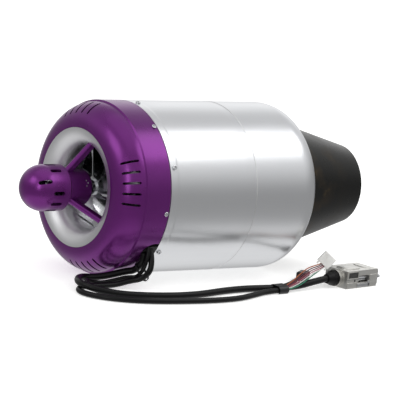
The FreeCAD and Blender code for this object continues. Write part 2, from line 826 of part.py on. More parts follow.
def make_rotor():
    """Shaft with its nuts and spacers, carried in two ball bearings."""
    front, rear = size.shaft_front_station, size.shaft_rear_station
    small, thick = size.shaft_radius, size.shaft_mid_radius
    mid_front = size.front_bearing_station + size.bearing_width
    node("rotor_shaft", turned("rotor_shaft", [
        (front, Dim(0, "0")), (front, small), (mid_front, small), (mid_front, thick),
        (size.rear_bearing_station, thick), (size.rear_bearing_station, small),
        (rear, small), (rear, Dim(0, "0")),
    ]))
    bore = small + size.running_gap / 2
    node("compressor_nut", turned("compressor_nut", [
        (size.wheel_front_station, bore), (size.wheel_front_station, size.nut_radius),
        (size.wheel_front_station - 4, size.nut_radius), (front - 1, size.nut_radius - 3),
        (front - 1, Dim(0, "0")), (front, Dim(0, "0")), (front, bore),
    ]))
    node("turbine_nut", ring("turbine_nut", size.turbine_rear_station, rear - 1, bore, size.nut_radius - 1))
    node("front_spacer", ring("front_spacer", size.wheel_rear_station, size.front_bearing_station,
                              bore, small + 2.5))
    node("rear_spacer", ring("rear_spacer", size.rear_bearing_station + size.bearing_width,
                             size.turbine_front_station, bore, small + 2.5))
    for place, station in (("front", size.front_bearing_station), ("rear", size.rear_bearing_station)):
        end = station + size.bearing_width
        node(place + "_bearing_inner_race", ring(place + "_bearing_inner_race", station, end,
                                                 bore, size.bearing_bore + size.race_wall))
        node(place + "_bearing_outer_race", ring(place + "_bearing_outer_race", station, end,
                                                 size.bearing_outer - size.race_wall, size.bearing_outer))
        circle = (size.bearing_bore.value + size.bearing_outer.value) / 2
        middle = (station.value + end.value) / 2
        ball = Part.makeSphere(size.ball_radius.value - 0.2, Vector(middle, 0, circle))
        cage = revolved([(middle - 1.2, circle - 0.5), (middle - 1.2, circle + 0.5),
                         (middle + 1.2, circle + 0.5), (middle + 1.2, circle - 0.5)])
        balls = [at_clock(ball, step * 40.0) for step in range(9)]
        node(place + "_bearing_balls", shaped(place + "_bearing_balls", cage.fuse(balls)))


def make_diffuser():
    """Vaned diffuser, its screwed rim, and the tunnel that holds both bearings."""
    front, wall = size.diffuser_front_station, size.diffuser_wall
    rim = size.body_radius - size.cowl_wall - size.fit_gap
    land = size.case_bore - size.fit_gap
    ring_front, ring_rear = size.diffuser_ring_front, size.diffuser_ring_rear
    tunnel = size.tunnel_radius
    disc = turned("diffuser_disc", [
        (front, size.bearing_outer), (front, rim - 4.5),
        (ring_front, rim - 2.6), (ring_front, rim),
        (size.joint_station, rim), (size.joint_station, land),
        (ring_rear, land), (ring_rear, land - 2.2),
        (front + wall, land - 4), (front + wall, tunnel),
        (size.front_bearing_station, tunnel), (size.front_bearing_station, size.bearing_outer),
    ])
    doc.recompute()
    hole = size.screw_shank_radius + size.fit_gap
    for end, station, clock in (
            ("front", size.joint_station - size.cowl_screw_inset, screw_clocks()[0]),
            ("rear", size.joint_station + size.case_screw_inset, screw_clocks()[1])):
        radial_holes(disc, "rim_%s_holes" % end, station, hole, size.screw_count, clock,
                     size.body_radius)
    count = int(size.diffuser_vanes.value)
    start = size.shroud_rear_station.value
    margin, thick = size.vane_margin.value, size.vane_thickness.value
    inner, outer = size.wheel_radius.value + margin, size.shroud_flange_radius.value - margin
    vane = Part.makeBox(front.value - start + size.joint_gap.value, thick, outer - inner,
                        Vector(start, -thick / 2, inner))
    vane.rotate(Vector(start, 0, inner), AXIS, size.vane_angle.value)
    vanes = doc.addObject("Part::Feature", "diffuser_vanes")
    vanes.Shape = polar_group(vane, count)
    vanes.Placement = Placement(Vector(-size.band_station.value, 0, 0), Rotation())
    fused = doc.addObject("Part::Fuse", "vaned_diffuser")
    fused.Base = disc
    fused.Tool = vanes
    node("diffuser", fused)
    node("shaft_tunnel", turned("shaft_tunnel", [
        (size.front_bearing_station, size.bearing_outer),
        (size.front_bearing_station, tunnel),
        (size.tunnel_rear_station, tunnel),
        (size.tunnel_rear_station, size.bearing_outer + 0.5),
        (size.rear_bearing_station + size.bearing_width, size.bearing_outer + 0.5),
        (size.rear_bearing_station + size.bearing_width, size.bearing_outer),
        (size.rear_bearing_station - 4, size.bearing_outer),
        (size.rear_bearing_station - 4, tunnel - size.tunnel_wall),
        (size.front_bearing_station + size.bearing_width + 3, tunnel - size.tunnel_wall),
        (size.front_bearing_station + size.bearing_width + 3, size.bearing_outer),
    ]))


# ---------------------------------------------------------------- combustor

def make_combustor():
    """Annular combustor: two drilled liners, a front plate, vaporiser tubes and fuel ring."""
    front, rear, wall = size.liner_front_station, size.liner_rear_station, size.liner_wall
    outer, inner = size.liner_radius, size.inner_liner_radius
    shroud = size.turbine_tip_radius + size.tip_clearance + size.shroud_wall
    liner = turned("outer_liner", [
        (front, outer - wall), (front, outer), (rear + wall, outer),
        (rear + wall, shroud + wall), (rear + 6, shroud + wall), (rear + 6, shroud),
        (rear, shroud), (rear, outer - wall),
    ])
    core = turned("inner_liner", [
        (front, inner), (front, inner + wall), (rear + 2, inner + wall), (rear + 2, inner),
    ])
    doc.recompute()
    for step, station in enumerate((20, 55, 90)):
        radial_holes(liner, "liner_holes_%d" % (step + 1), front + station, size.liner_hole_radius,
                     12, Dim.of(15.0 * (step % 2)), outer + 5)
        radial_holes(core, "core_holes_%d" % (step + 1), front + station, size.liner_hole_radius / 2,
                     8, Dim.of(22.5 * (step % 2)), outer - 5)
    node("combustor_outer_liner", liner)
    node("combustor_inner_liner", core)
    node("combustor_front_plate", ring("combustor_front_plate", front - 1, front, inner, outer))
    count = int(size.vapour_tubes.value)
    base = rear.value - size.vapour_tube_length.value
    tube = Part.makeCylinder(size.vapour_tube_radius.value, size.vapour_tube_length.value,
                             Vector(base, 0, size.vapour_tube_circle.value), AXIS)
    tube = tube.cut(Part.makeCylinder(size.vapour_tube_radius.value - 0.4, size.vapour_tube_length.value,
                                      Vector(base, 0, size.vapour_tube_circle.value), AXIS))
    node("vaporiser_tubes", shaped("vaporiser_tubes", polar_group(tube, count)))
    manifold = doc.addObject("Part::Torus", "fuel_ring")
    bind(manifold, Radius1=size.fuel_ring_radius, Radius2=size.fuel_ring_bore)
    manifold.Placement = Placement(Vector(), Rotation(Vector(0, 1, 0), 90))
    bind(manifold, Base_x=front - 1 - size.fuel_ring_bore - size.band_station)
    node("fuel_ring", manifold)


# ---------------------------------------------------------------- exhaust

def make_exhaust():
    """Heat-coloured conical nozzle with its flange, and the tail cone on three fins."""
    end, rim = size.case_end_station, size.nozzle_rim_station
    root_r, rim_r, wall = size.nozzle_root_radius, size.nozzle_rim_radius, size.nozzle_wall
    slope = (root_r - rim_r) / (rim - end)
    flange = size.nozzle_flange_station
    neck = root_r + slope * (end - flange - 1)
    node("exhaust_nozzle", turned("exhaust_nozzle", [
        (flange, neck - wall), (flange, size.nozzle_flange_radius),
        (flange + 1, size.nozzle_flange_radius), (flange + 1, neck),
        (rim, rim_r), (rim, rim_r - wall),
    ]))
    station, length = size.tail_cone_station, size.tail_cone_length
    big, small, skin = size.tail_cone_radius, size.tail_cone_end_radius, size.tail_cone_wall
    cone = turned("tail_cone_shell", [
        (station, big - skin), (station, big), (station + length, small),
        (station + length, Dim(0, "0")), (station + length - skin, Dim(0, "0")),
        (station + length - skin, small - skin),
    ])
    doc.recompute()
    fin = Part.makeBox(14, skin.value, 60, Vector(station.value + 2, -skin.value / 2, big.value - 8))
    inside = Part.makeCone(root_r.value - wall.value - 0.1, rim_r.value - wall.value - 0.1,
                           rim.value - end.value, Vector(end.value, 0, 0), AXIS)
    core = Part.makeCone(big.value - 0.3, small.value - 0.3, length.value, Vector(station.value, 0, 0), AXIS)
    fins = doc.addObject("Part::Feature", "tail_fins")
    fins.Shape = polar_group(fin.common(inside).cut(core), 3, 60.0)
    fins.Placement = Placement(Vector(-size.band_station.value, 0, 0), Rotation())
    tail = doc.addObject("Part::Fuse", "finned_tail_cone")
    tail.Base = cone
    tail.Tool = fins
    node("tail_cone", tail)


# ---------------------------------------------------------------- screws and fittings

def screw(station, seat_radius):
    """Socket screw that stands radially on a seat, head outwards."""
    up = Vector(0, 0, 1)
    head = Part.makeCylinder(size.screw_head_radius.value, size.screw_head_height.value,
                             Vector(station, 0, seat_radius), up)
    rim = [edge for edge in head.Edges if abs(edge.BoundBox.ZMin - seat_radius
                                              - size.screw_head_height.value) < 1e-6
           and isinstance(edge.Curve, Part.Circle)]
    head = head.makeFillet(size.screw_head_height.value * 0.45, rim)
    socket = Part.makeCylinder(size.screw_socket_radius.value, size.screw_socket_depth.value,
                               Vector(station, 0, seat_radius + size.screw_head_height.value
                                      - size.screw_socket_depth.value), up)
    shank = Part.makeCylinder(size.screw_shank_radius.value, size.screw_shank_length.value + 0.2,
                              Vector(station, 0, seat_radius - size.screw_shank_length.value), up)
    return head.fuse(shank).cut(socket)


def make_screws():
    """Screws that hold the cowl and the case to the diffuser's rim."""
    rows = (("cowl_screws", size.joint_station - size.cowl_screw_inset),
            ("case_screws", size.joint_station + size.case_screw_inset))
    for (label, station), clock in zip(rows, screw_clocks()):
        fastener = screw(station.value, size.body_radius.value)
        node(label, shaped(label, polar_group(fastener, size.screw_count.value, clock.value)))


def make_cowl_fittings():
    """Control board on standoffs, fuel pump, valves and speed sensor on the shroud's flange."""
    board = size.board_station
    rear_face = size.shroud_rear_station - size.bell_wall
    bare = ring("bare_board", board, board + size.board_thickness,
                size.board_inner_radius, size.board_outer_radius)
    middle = (size.board_inner_radius.value + size.board_outer_radius.value) / 2
    standoff = Part.makeCylinder(size.standoff_radius.value, rear_face.value - board.value - size.board_thickness.value,
                                 Vector(board.value + size.board_thickness.value, 0, middle - 1), AXIS)
    node("board_standoffs", shaped("board_standoffs", polar_group(
        standoff, size.standoff_count.value, 20.0)))
    chips = []
    for step in range(24):
        width = (5.0, 3.0, 4.0)[step % 3]
        tall = (1.6, 2.4, 1.0)[step % 3]
        chip = Part.makeBox(tall, width, 3.6, Vector(board.value - tall, -width / 2, middle - 1.8))
        chips.append(at_clock(chip, 15.0 * step))
    populated = doc.addObject("Part::Fuse", "populated_board")
    populated.Base = bare
    populated.Tool = shaped("board_chips", Part.makeCompound(chips))
    node("control_board", populated)
    for label, clocks, radius, length in (
            ("fuel_pump", (40.0,), size.pump_radius, size.pump_length),
            ("solenoid_valves", (85.0, 110.0), size.valve_radius, size.valve_length)):
        rear = size.pump_rear_station.value
        circle = size.pump_circle.value
        barrel = Part.makeCylinder(radius.value, length.value, Vector(rear - length.value, 0, circle), AXIS)
        foot = Part.makeCylinder(size.foot_radius.value, rear_face.value - rear, Vector(rear, 0, circle), AXIS)
        pipe = size.spout_length.value
        spout = Part.makeCylinder(size.spout_radius.value, pipe,
                                  Vector(rear - length.value - pipe, 0, circle), AXIS)
        body = barrel.fuse([foot, spout]).removeSplitter()
        node(label, shaped(label, Part.makeCompound([at_clock(body, clock) for clock in clocks])))
    stub = size.sensor_length.value
    sensor = Part.makeCylinder(size.sensor_radius.value, stub,
                               Vector(rear_face.value - stub, 0, size.sensor_circle.value), AXIS)
    node("speed_sensor", shaped("speed_sensor", at_clock(sensor, 200.0)))
    reach = size.liner_front_station.value + size.igniter_reach.value
    start = size.diffuser_front_station.value + size.diffuser_wall.value
    plug = Part.makeCylinder(size.igniter_radius.value, reach - start,
                             Vector(start, 0, size.igniter_circle.value), AXIS)
    node("igniter", shaped("igniter", at_clock(plug, 300.0)))


def make_grommet():
    """Rubber grommet that fills the cable notch and stands on the diffuser's rim."""
    gap = size.grommet_gap.value
    rear = size.joint_station.value
    front = rear - size.notch_depth.value + gap
    half = size.notch_width.value / 2 - gap
    seat = size.body_radius.value - size.cowl_wall.value - size.fit_gap.value
    top = size.grommet_height.value
    block = Part.makeBox(rear - front - half, half * 2, top + half, Vector(front + half, -half, 0))
    arch = Part.makeCylinder(half, top + half, Vector(front + half, 0, 0), Vector(0, 0, 1))
    kept = Part.makeBox(rear - front, half + size.grommet_edge.value, top + half,
                        Vector(front, -half, 0))
    floor = seat + size.running_gap.value
    shell = revolved([(front, floor), (front, top), (rear, top), (rear, floor)])
    lump = block.fuse(arch).removeSplitter().common(kept).common(shell)
    node("cable_grommet", shaped("cable_grommet", at_clock(lump, size.notch_clock.value)))


# ---------------------------------------------------------------- wiring harness

THICK_LEAD = [
    (-57.1, -59.6, -45.2), (-57.2, -60.3, -52.0), (-56.9, -49.5, -62.5), (-64.0, -46.0, -63.8),
    (-72.5, -42.0, -66.8), (-81.5, -38.5, -69.3), (-91.0, -35.8, -70.4), (-101.5, -35.2, -69.8),
    (-112.4, -44.2, -68.6), (-120.5, -57.8, -68.3), (-120.8, -70.0, -68.6), (-111.8, -78.0, -70.8),
    (-96.0, -85.0, -73.0), (-75.0, -91.5, -73.5), (-48.0, -97.0, -73.5), (-19.0, -96.0, -73.5),
    (11.0, -88.5, -73.5), (36.0, -85.5, -73.5), (57.0, -87.3, -73.3), (77.0, -89.3, -73.2),
    (97.0, -89.0, -72.2), (115.0, -86.2, -69.9), (131.6, -83.4, -68.5),
]
PLUG_LEAD = [
    (-52.1, -61.8, -42.2), (-53.8, -70.4, -55.2), (-58.2, -63.5, -66.6), (-66.5, -56.5, -69.5),
    (-78.0, -53.5, -73.2), (-92.0, -52.0, -74.0), (-104.0, -49.5, -74.0), (-115.0, -53.0, -74.0),
    (-123.5, -62.0, -74.0), (-124.5, -74.5, -74.0), (-114.5, -90.0, -74.0), (-97.0, -101.5, -74.0),
    (-76.0, -108.5, -74.0), (-49.0, -113.0, -74.0), (-19.0, -115.5, -74.0), (9.0, -113.5, -74.0),
    (33.0, -104.5, -74.0), (53.0, -96.2, -74.0), (73.0, -94.6, -73.6),
]
PROBE_LEAD = [
    (-56.0, -63.7, -39.2), (-58.2, -67.6, -50.6), (-57.6, -56.4, -67.0), (-65.0, -50.5, -67.5),
    (-75.0, -46.5, -71.0), (-87.0, -44.0, -73.5), (-98.0, -43.5, -72.0), (-106.0, -47.5, -69.3),
    (-110.5, -56.0, -69.3), (-108.0, -66.0, -72.6), (-99.0, -73.5, -74.75), (-86.0, -79.0, -74.75),
    (-71.0, -85.0, -74.75), (-48.0, -91.2, -74.75), (-19.0, -90.2, -74.75), (10.0, -82.8, -74.75),
    (36.0, -79.8, -74.75), (58.0, -81.5, -74.75), (78.0, -81.0, -74.75), (95.0, -74.5, -74.75),
    (109.0, -66.0, -74.3), (120.5, -60.5, -72.5),
]
PLUG_WIRES = [
    (73.0, -94.6, -73.6), (84.0, -93.8, -70.2), (97.0, -89.0, -65.8), (114.0, -82.0, -62.2),
    (132.6, -74.6, -57.9),
]
LEAD_RUN_SHARE = 0.45
ROUTE_CASE_RADIUS = 75.0
ROUTE_JOINT_PLACE = -47.0
TIE_RUN = 1
SLEEVE_SHARE = 0.92
SLEEVE_RUN = 18
SLEEVE_RUN_SHARE = 0.72
HOOD_CORNER = (147.5, -93.4, -76.5)
HOOD_HEADING = 9.4
WHITE_PLUG_CENTRE = (136.0, -76.0, -53.4)
WHITE_PLUG_AXIS = Vector(0.578, -0.266, 0.771)
WHITE_PLUG_FACE = Vector(-0.593, -0.786, 0.174)
BLACK_PLUG_CENTRE = (127.5, -56.5, -72.3)
BLACK_PLUG_HEADING = 33.0


def laid(point):
    """Place of a harness point: it moves with the cowl's rear edge and spreads with the case."""
    spread = size.land_radius.value / ROUTE_CASE_RADIUS
    moved = (size.joint_station - size.band_station).value - ROUTE_JOINT_PLACE
    return Vector(point[0] + moved, point[1] * spread, point[2] * spread)


def lead(label, points, radius):
    """Tube of straight runs joined by tangent arcs, each arc as large as its runs allow."""
    places = [laid(point) for point in points]
    edges, radii = [], []
    start = places[0]
    for before, here, after in zip(places, places[1:], places[2:]):
        back, ahead = before - here, after - here
        cut = LEAD_RUN_SHARE * min(back.Length, ahead.Length)
        half_turn = (math.pi - back.getAngle(ahead)) / 2
        bend = cut / math.tan(half_turn)
        radii.append(bend)
        back, ahead = back.normalize(), ahead.normalize()
        first, last = here + back * cut, here + ahead * cut
        inward = (back + ahead).normalize()
        middle = here + inward * (bend / math.cos(half_turn) - bend)
        edges.append(Part.LineSegment(start, first).toShape())
        edges.append(Part.Arc(first, middle, last).toShape())
        start = last
    edges.append(Part.LineSegment(start, places[-1]).toShape())
    path = Part.Wire(edges)
    heading = places[1] - places[0]
    section = Part.Wire(Part.makeCircle(radius.value, places[0], heading))
    solid = path.makePipeShell([section], True, False)
    expected = math.pi * radius.value ** 2 * path.Length
    if abs(solid.Volume / expected - 1) > 0.01:
        raise RuntimeError("%s has the wrong volume" % label)
    print("%s: %.0f mm long, bend radii %s mm" % (
        label, path.Length, " ".join("%.0f" % bend for bend in radii)))
    item = doc.addObject("Part::Feature", label)
    item.Shape = solid
    node(label, item)


def oval_band(label, first, last, heading, bore, wall, width):
    """Band of even wall round two parallel leads, centred on the plane through first."""
    heading = Vector(*heading).normalize()
    last = last - heading * (last - first).dot(heading)
    start = first - heading * (width / 2)

    def oval(radius, extra):
        begin = start - heading * extra
        across = last - first
        pieces = [Part.makeCylinder(radius, width + 2 * extra, begin + across * share, heading)
                  for share in (0, 1)]
        side = across.normalize()
        box = Part.makeBox((last - first).Length, 2 * radius, width + 2 * extra)
        up = heading.cross(side)
        turn = FreeCAD.Matrix(side.x, up.x, heading.x, 0, side.y, up.y, heading.y, 0,
                              side.z, up.z, heading.z, 0, 0, 0, 0, 1)
        box.Placement = Placement(begin - up * radius, Placement(turn).Rotation)
        return pieces[0].fuse([pieces[1], box]).removeSplitter()
    item = doc.addObject("Part::Feature", label)
    item.Shape = oval(bore + wall, 0).cut(oval(bore, 1))
    node(label, item)


def on_run(points, run, share=0.5):
    """Place a share of the way along one run of a route."""
    first, last = laid(points[run]), laid(points[run + 1])
    return first + (last - first) * share


def make_harness():
    """Three leads, the tie that gathers them and the sleeve where two of them end."""
    lead("thick_lead", THICK_LEAD, size.lead_radius)
    lead("plug_lead", PLUG_LEAD, size.plug_lead_radius)
    lead("probe_lead", PROBE_LEAD, size.probe_lead_radius)
    lead("plug_wires", PLUG_WIRES, size.wire_loom_radius)
    bore = size.lead_radius.value + size.fit_gap.value
    along = laid(THICK_LEAD[TIE_RUN + 1]) - laid(THICK_LEAD[TIE_RUN])
    oval_band("harness_tie", on_run(THICK_LEAD, TIE_RUN), on_run(PLUG_LEAD, TIE_RUN), along, bore,
              size.tie_wall.value, size.tie_width.value)
    last = len(PLUG_LEAD) - 2
    along = laid(PLUG_LEAD[last + 1]) - laid(PLUG_LEAD[last])
    oval_band("lead_sleeve", on_run(PLUG_LEAD, last, SLEEVE_SHARE),
              on_run(THICK_LEAD, SLEEVE_RUN, SLEEVE_RUN_SHARE), along, bore,
              size.sleeve_wall.value, size.sleeve_length.value)


# ---------------------------------------------------------------- connectors

def box(name, low, sizes):
    """Part::Box bound to the sheet, low corner and sizes given as six values."""
    item = doc.addObject("Part::Box", name)
    bind(item, Length=sizes[0], Width=sizes[1], Height=sizes[2],
         Base_x=low[0], Base_y=low[1], Base_z=low[2])
    return item


def rod(name, start, radius, length):
    """Part::Cylinder along the connector's own length."""
    item = doc.addObject("Part::Cylinder", name)
    item.Placement = Placement(Vector(), Rotation(Vector(0, 1, 0), 90))
    bind(item, Radius=radius, Height=length, Base_x=start[0], Base_y=start[1], Base_z=start[2])
    return item


def boolean(kind, name, base, tools):
    """Cut the tools from a base, or fuse them to it."""
    joined = tools[0]
    if len(tools) > 1:
        joined = doc.addObject("Part::MultiFuse", name + "_tools")
        joined.Shapes = tools
    item = doc.addObject(kind, name)
    item.Base = base
    item.Tool = joined
    return item


def on_hood(label, item):
    """Carry a piece drawn in the connector's own frame to where the connector lies."""
    item.Placement = Placement(laid(HOOD_CORNER), Rotation(Vector(0, 0, 1), HOOD_HEADING))
    return node(label, item)


def make_hood():
    """Two die-cast hood halves, split at mid height, with screw channels and side windows."""
    length, width, height = size.hood_length, size.hood_width, size.hood_height
    wall, half, gap = size.hood_wall, size.hood_height / 2, size.hood_split
    inset, channel = size.jackscrew_inset, size.jackscrew_radius + size.fit_gap
    window = size.jackscrew_head_radius + size.fit_gap * 2
    for label, low, floor in (("hood_lower", Dim(0, "0"), wall), ("hood_upper", half + gap, Dim(0, "0"))):
        tall = half - gap if label == "hood_upper" else half
        tools = [
            box(label + "_cavity", (wall, inset * 2, low + floor), (length - wall * 2,
                                                                 width - inset * 4, tall - wall)),
            box(label + "_mouth", (length - wall * 2, (width - size.shell_width) / 2 + wall / 2,
                                   half - size.shell_height / 2),
                (wall * 4, size.shell_width - wall, size.shell_height)),
            rod(label + "_cable_hole", (-wall, width / 2, half), size.bushing_stem_radius + gap, wall * 3),
        ]
        for side, place in (("near", inset), ("far", width - inset)):
            tools.append(rod("%s_%s_channel" % (label, side), (size.window_station, place, half),
                             channel, length))
            edge = place - inset - wall if side == "near" else place - window
            tools.append(box("%s_%s_window" % (label, side),
                             (size.window_station, edge, half - window),
                             (size.window_length, inset + wall + window, window * 2)))
        shell = box(label + "_block", (Dim(0, "0"), Dim(0, "0"), low), (length, width, tall))
        on_hood(label, boolean("Part::Cut", label + "_cut", shell, tools))


def make_connector():
    """Flanged socket, jackscrews, and the rubber bushing with its clamp at the cable's entry."""
    length, width, half = size.hood_length, size.hood_width, size.hood_height / 2
    gap = size.hood_split
    plate = box("socket_plate", (length + gap, (width - size.flange_width) / 2, half - size.flange_height / 2),
                (size.flange_plate, size.flange_width, size.flange_height))
    nose = box("socket_nose", (length - size.hood_wall, (width - size.shell_width) / 2 + size.hood_wall,
                               half - size.shell_height / 2 + gap),
               (size.hood_wall + size.shell_reach, size.shell_width - size.hood_wall * 2,
                size.shell_height - gap * 2))
    holes = [rod("socket_screw_hole_" + side, (length - 1, place, half),
                 size.jackscrew_radius + size.fit_gap, Dim(4, "4"))
             for side, place in (("near", size.jackscrew_inset), ("far", width - size.jackscrew_inset))]
    solid = boolean("Part::Fuse", "socket_solid", plate, [nose])
    pins = []
    longer = int(size.pin_count.value)
    for row, count in ((1, longer), (-1, longer - 1)):
        for step in range(count):
            across = width / 2 + (step - (count - 1) / 2) * size.pin_pitch
            pins.append(rod("socket_pin_%d_%d" % (row + 2, step),
                            (length + size.shell_reach - size.pin_depth, across,
                             half + row * size.pin_row_gap / 2),
                            size.pin_radius, size.pin_depth * 2))
    on_hood("connector_socket", boolean("Part::Cut", "connector_socket_cut", solid, holes + pins))
    for side, place in (("near", size.jackscrew_inset), ("far", width - size.jackscrew_inset)):
        head_start = size.window_station + size.window_end_gap
        head = rod("jackscrew_%s_head" % side, (head_start, place, half), size.jackscrew_head_radius,
                   size.jackscrew_head_length)
        shank = rod("jackscrew_%s_shank" % side, (head_start + 1, place, half), size.jackscrew_radius,
                    length + size.jackscrew_overhang - head_start - 1)
        slot = box("jackscrew_%s_slot" % side, (head_start - 1, place - 0.4, half - 4), (2.2, 0.8, 8))
        screw_body = boolean("Part::Fuse", "jackscrew_%s_body" % side, head, [shank])
        on_hood("jackscrew_" + side, boolean("Part::Cut", "jackscrew_%s_cut" % side, screw_body, [slot]))
    stem = size.bushing_stem_radius
    bushing = [rod("bushing_stem", (Dim(0, "0"), width / 2, half), stem, size.hood_wall * 1.5),
               rod("bushing_barrel", (-size.bushing_barrel, width / 2, half), size.bushing_radius,
                   size.bushing_barrel - gap)]
    cone = doc.addObject("Part::Cone", "bushing_taper")
    cone.Placement = Placement(Vector(), Rotation(Vector(0, 1, 0), 90))
    bind(cone, Radius1=size.lead_radius + 1, Radius2=size.bushing_radius,
         Height=size.bushing_length - size.bushing_barrel,
         Base_x=-size.bushing_length, Base_y=width / 2, Base_z=half)
    on_hood("cable_bushing", boolean("Part::Fuse", "cable_bushing_solid", cone,
                                     bushing + [rod("bushing_neck", (-gap * 2, width / 2, half),
                                                    stem, gap * 3)]))
    outer = rod("clamp_outer", (-size.clamp_width - gap, width / 2, half),
                size.bushing_radius + size.clamp_wall, size.clamp_width)
    inner = rod("clamp_inner", (-size.clamp_width - 1, width / 2, half), size.bushing_radius + gap / 2,
                size.clamp_width + 2)
    on_hood("bushing_clamp", boolean("Part::Cut", "bushing_clamp_cut", outer, [inner]))


def make_plugs():
    """White wire plug that leans on the cable bushing, and the small black plug beside it."""
    length, width, thick = (size.white_plug_length.value, size.white_plug_width.value,
                            size.white_plug_thickness.value)
    shell = Part.makeBox(length, width, thick, Vector(-length / 2, -width / 2, -thick / 2))
    shell = shell.makeFillet(0.5, shell.Edges)
    tongues = [Part.makeBox(3.0, 1.6, 1.2, Vector(-length / 2 - 2.6, place, thick / 2 - 1.6))
               for place in (-width / 2 + 0.8, width / 2 - 2.4)]
    latch = Part.makeBox(4.0, 3.0, 0.9, Vector(length / 2 - 5.5, -1.5, thick / 2 - 0.1))
    recess = Part.makeBox(1.6, 1.6, 1.0, Vector(length / 2 - 3.2, width / 2 - 3.4, thick / 2 - 0.5))
    shell = shell.fuse(tongues + [latch]).cut(recess)
    along, face = WHITE_PLUG_AXIS.normalize(), WHITE_PLUG_FACE.normalize()
    side = face.cross(along)
    turn = FreeCAD.Matrix(along.x, side.x, face.x, 0, along.y, side.y, face.y, 0,
                          along.z, side.z, face.z, 0, 0, 0, 0, 1)
    item = doc.addObject("Part::Feature", "white_plug")
    item.Shape = shell.removeSplitter()
    item.Placement = Placement(laid(WHITE_PLUG_CENTRE), Placement(turn).Rotation)
    node("white_plug", item)
    length, width, thick = (size.black_plug_length, size.black_plug_width, size.black_plug_thickness)
    block = box("black_plug_block", (-length / 2, -width / 2, -thick / 2), (length, width, thick))
    edges = doc.addObject("Part::Chamfer", "black_plug_body")
    edges.Base = block
    edges.Edges = [(number, 0.8, 0.8) for number in range(1, 13)]
    edges.Placement = Placement(laid(BLACK_PLUG_CENTRE), Rotation(Vector(0, 0, 1), BLACK_PLUG_HEADING))
    node("black_plug", edges)


make_cowl()
make_casing()
make_intake()
make_nose()
make_starter()
make_rotor()
make_diffuser()
make_combustor()
make_compressor_wheel()
make_turbine()
make_exhaust()
make_screws()
make_cowl_fittings()
make_grommet()
make_harness()
make_hood()
make_connector()
make_plugs()


def write_parts():
    """Check every object, then write each sub-part to its own file."""
    doc.recompute()
    for item in doc.Objects:
        if "Invalid" in item.State or "Error" in item.State:
            raise RuntimeError("failed object: " + item.Label)
    for label, item in NODES.items():
        if item.Shape.isNull() or not item.Shape.isValid() or not item.Shape.Solids:
            raise RuntimeError("bad shape: " + label)
    os.makedirs("parts", exist_ok=True)
    for label, item in NODES.items():
        item.Shape.exportStep("parts/%s.step" % label)
        print("%-26s %2d solid(s) %10.1f mm3" % (label, len(item.Shape.Solids), item.Shape.Volume))
    print(len(NODES), "sub-parts")


write_parts()
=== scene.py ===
import json
import math

import bmesh
import bpy
from mathutils import Matrix, Quaternion, Vector


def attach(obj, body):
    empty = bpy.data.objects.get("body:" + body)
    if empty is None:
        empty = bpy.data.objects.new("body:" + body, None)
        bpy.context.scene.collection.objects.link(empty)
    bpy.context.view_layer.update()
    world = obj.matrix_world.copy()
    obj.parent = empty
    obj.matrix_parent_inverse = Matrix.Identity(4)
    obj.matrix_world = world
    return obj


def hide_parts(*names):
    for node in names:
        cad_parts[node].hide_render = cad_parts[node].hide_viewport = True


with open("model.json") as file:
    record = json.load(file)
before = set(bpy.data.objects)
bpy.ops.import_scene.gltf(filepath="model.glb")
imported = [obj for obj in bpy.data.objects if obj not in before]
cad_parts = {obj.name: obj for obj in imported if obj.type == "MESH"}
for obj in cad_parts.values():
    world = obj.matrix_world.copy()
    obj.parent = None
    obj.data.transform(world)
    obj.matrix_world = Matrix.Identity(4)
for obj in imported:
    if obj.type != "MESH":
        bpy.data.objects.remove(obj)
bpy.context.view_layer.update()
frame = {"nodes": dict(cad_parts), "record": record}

# Looks of a small turbojet engine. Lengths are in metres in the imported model's frame: the engine's
# axis is X, its nose points to -X, and the middle of the casing's clamping land is at X = 0.

MM = 0.001
nodes = frame["nodes"]
FLOOR_HEIGHT = -0.0768      # underside of the leads, where they lie


# ---------------------------------------------------------------- camera

EYE = Vector((-1.2898, -1.6484, 0.3640))
AIM = Vector((0.0089, -0.0444, -0.0033))
ROLL = math.radians(6.90)
LENS = 217.8
SENSOR = 36.0


def set_camera():
    data = bpy.data.cameras.new("camera")
    data.lens = LENS
    data.sensor_width = SENSOR
    data.clip_start, data.clip_end = 0.1, 80.0
    camera = bpy.data.objects.new("camera", data)
    camera.location = EYE
    camera.rotation_mode = "QUATERNION"
    camera.rotation_quaternion = (AIM - EYE).to_track_quat("-Z", "Y") @ Quaternion((0, 0, 1), ROLL)
    bpy.context.scene.collection.objects.link(camera)
    bpy.context.scene.camera = camera


set_camera()


# ---------------------------------------------------------------- finishes

class Signal:
    """A node's output; sums and products of signals add their Math nodes."""

    def __init__(self, finish, socket):
        self.finish = finish
        self.socket = socket

    def maths(self, operation, *others, **settings):
        settings["operation"] = operation
        return self.finish.add("ShaderNodeMath", settings, dict(enumerate((self,) + others)))

    def __add__(self, other):
        return self.maths("ADD", other)

    def __sub__(self, other):
        return self.maths("SUBTRACT", other)

    def __mul__(self, other):
        return self.maths("MULTIPLY", other)

    def __rsub__(self, other):
        return self * -1.0 + other

    __radd__ = __add__
    __rmul__ = __mul__

    def band(self, centre, half, soft):
        """1 within half of a centre, falling to 0 over soft."""
        away = (self - centre).maths("ABSOLUTE")
        return ((half + soft) - away).maths("DIVIDE", soft, use_clamp=True)

    def ramp(self, *stops):
        """Smooth value between (position, value) stops."""
        grey = [(where, (value, value, value, 1)) for where, value in stops]
        return self.finish.add("ShaderNodeValToRGB", {"stops": grey}, {0: self})


